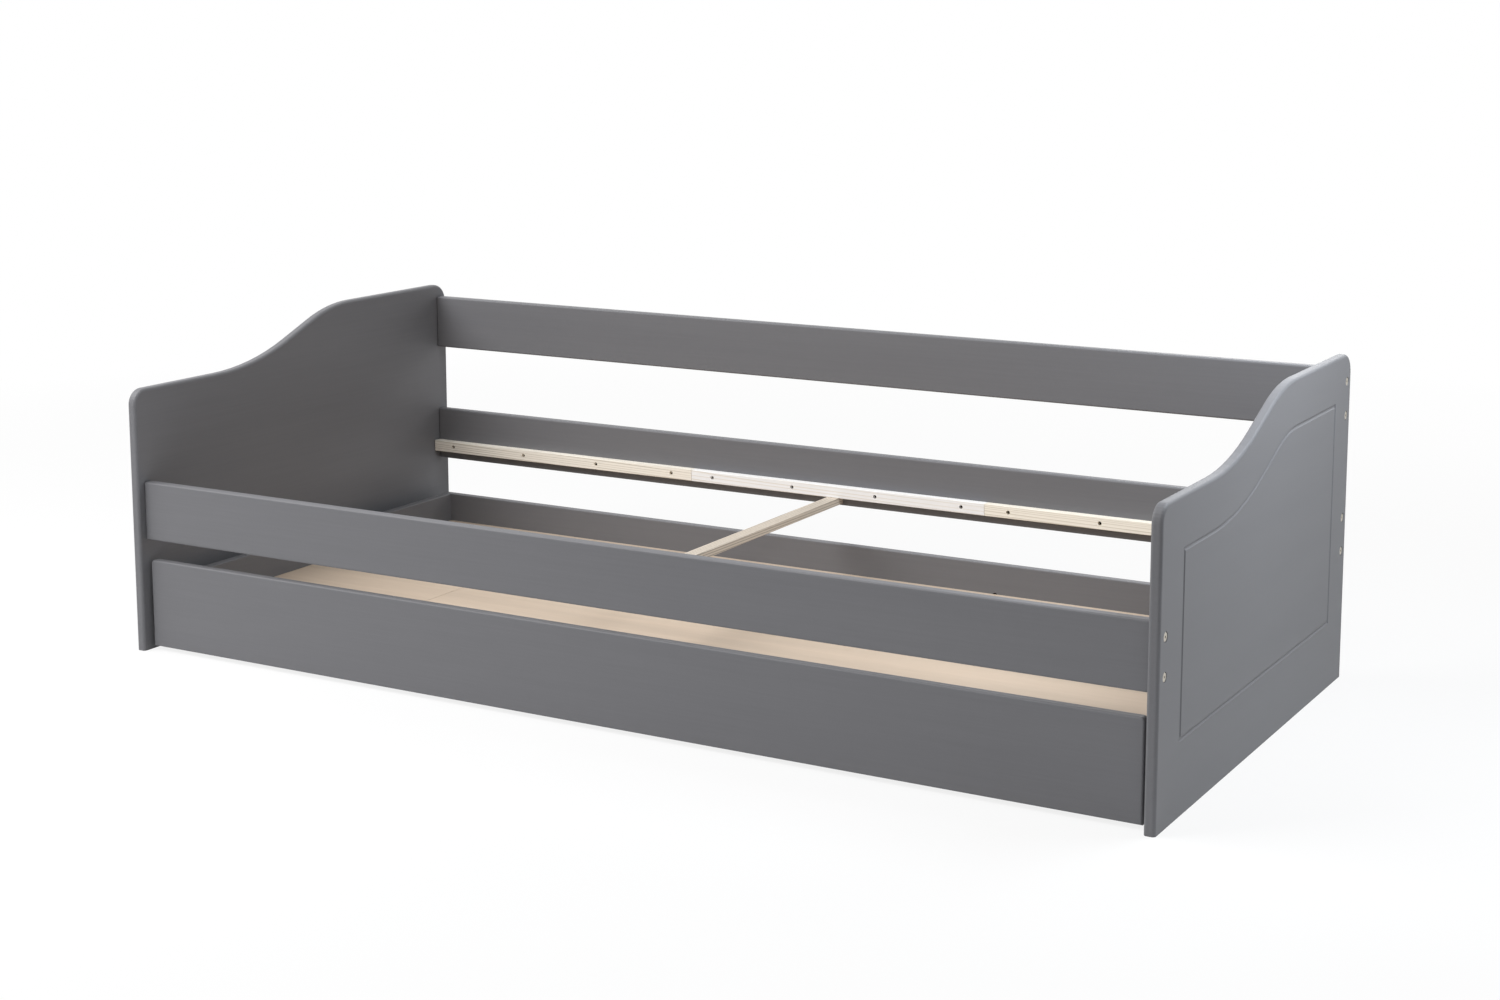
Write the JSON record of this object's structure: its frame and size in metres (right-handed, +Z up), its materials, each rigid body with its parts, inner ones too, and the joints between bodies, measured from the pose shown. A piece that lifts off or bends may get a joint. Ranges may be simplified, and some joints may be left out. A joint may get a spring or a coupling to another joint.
{
  "type": "storage bed",
  "caption": "Low day bed frame with waved end panels, open back rails, pine ledges for a slatted base, and a full-length storage drawer that rolls out on casters.",
  "frame": {"origin": "the middle of the bed on the floor, at the bottom centre of its bounding box", "axes": "+X along the bed's length towards the right end panel, -Y towards the front, where the drawer rolls out, +Z up"},
  "size_m": [2.06, 0.97, 0.606],
  "materials": {
    "grey_lacquer": "grey satin lacquer over fine horizontal wood grain",
    "pine": "planed, unfinished pine",
    "plywood": "sanded, unfinished plywood",
    "zinc": "zinc plated",
    "dark_steel": "dark zinc plated",
    "black_plastic": "matte"
  },
  "bodies": {
    "frame": {"left_end_panel": "grey_lacquer", "right_end_panel": "grey_lacquer", "front_rail": "grey_lacquer", "back_rail_lower": "grey_lacquer", "back_rail_upper": "grey_lacquer", "back_ledge_left": "pine", "back_ledge_middle": "pine", "back_ledge_right": "pine", "front_ledge_left": "pine", "front_ledge_middle": "pine", "front_ledge_right": "pine", "crossbar": "pine", "left_panel_bolts": "zinc", "right_panel_bolts": "zinc", "front_rail_nuts": "zinc", "back_rail_lower_nuts": "zinc", "back_rail_upper_nuts": "zinc", "back_ledge_screws": "dark_steel", "front_ledge_screws": "dark_steel", "crossbar_screws": "dark_steel"},
    "drawer": {"drawer_front": "grey_lacquer", "drawer_left_side": "grey_lacquer", "drawer_right_side": "grey_lacquer", "drawer_back": "grey_lacquer", "drawer_floor_short": "plywood", "drawer_floor_long": "plywood", "drawer_front_bearer": "pine", "drawer_back_bearer": "pine", "drawer_cross_bearer_1": "pine", "drawer_cross_bearer_2": "pine", "drawer_cross_bearer_3": "pine", "drawer_cross_bearer_4": "pine", "drawer_cross_bearer_5": "pine", "drawer_cross_bearer_6": "pine", "drawer_cams": "zinc", "drawer_cam_dowels": "zinc", "drawer_back_screws": "dark_steel", "caster_bracket_1": "zinc", "caster_bracket_2": "zinc", "caster_bracket_3": "zinc", "caster_bracket_4": "zinc", "caster_bracket_5": "zinc", "caster_bracket_6": "zinc", "caster_axles": "zinc", "caster_screws": "dark_steel"},
    "wheel_1": {"caster_wheel_1": "black_plastic"},
    "wheel_2": {"caster_wheel_2": "black_plastic"},
    "wheel_3": {"caster_wheel_3": "black_plastic"},
    "wheel_4": {"caster_wheel_4": "black_plastic"},
    "wheel_5": {"caster_wheel_5": "black_plastic"},
    "wheel_6": {"caster_wheel_6": "black_plastic"}
  },
  "joints": [
    {"name": "drawer_slide", "type": "slide", "parent": "frame", "child": "drawer", "axis": [0, -1, 0], "range_m": [0, 0.9]},
    {"name": "wheel_1_roll", "type": "hinge", "parent": "drawer", "child": "wheel_1", "pos_m": [-0.87, -0.429, 0.0175], "axis": [1, 0, 0], "continuous": true},
    {"name": "wheel_2_roll", "type": "hinge", "parent": "drawer", "child": "wheel_2", "pos_m": [0, -0.429, 0.0175], "axis": [1, 0, 0], "continuous": true},
    {"name": "wheel_3_roll", "type": "hinge", "parent": "drawer", "child": "wheel_3", "pos_m": [0.87, -0.429, 0.0175], "axis": [1, 0, 0], "continuous": true},
    {"name": "wheel_4_roll", "type": "hinge", "parent": "drawer", "child": "wheel_4", "pos_m": [-0.87, 0.407, 0.0175], "axis": [1, 0, 0], "continuous": true},
    {"name": "wheel_5_roll", "type": "hinge", "parent": "drawer", "child": "wheel_5", "pos_m": [0, 0.407, 0.0175], "axis": [1, 0, 0], "continuous": true},
    {"name": "wheel_6_roll", "type": "hinge", "parent": "drawer", "child": "wheel_6", "pos_m": [0.87, 0.407, 0.0175], "axis": [1, 0, 0], "continuous": true}
  ],
  "couplings": [
    {"joint": "wheel_1_roll", "follows": "drawer_slide", "rad_per_m": 57.143},
    {"joint": "wheel_2_roll", "follows": "drawer_slide", "rad_per_m": 57.143},
    {"joint": "wheel_3_roll", "follows": "drawer_slide", "rad_per_m": 57.143},
    {"joint": "wheel_4_roll", "follows": "drawer_slide", "rad_per_m": 57.143},
    {"joint": "wheel_5_roll", "follows": "drawer_slide", "rad_per_m": 57.143},
    {"joint": "wheel_6_roll", "follows": "drawer_slide", "rad_per_m": 57.143}
  ]
}
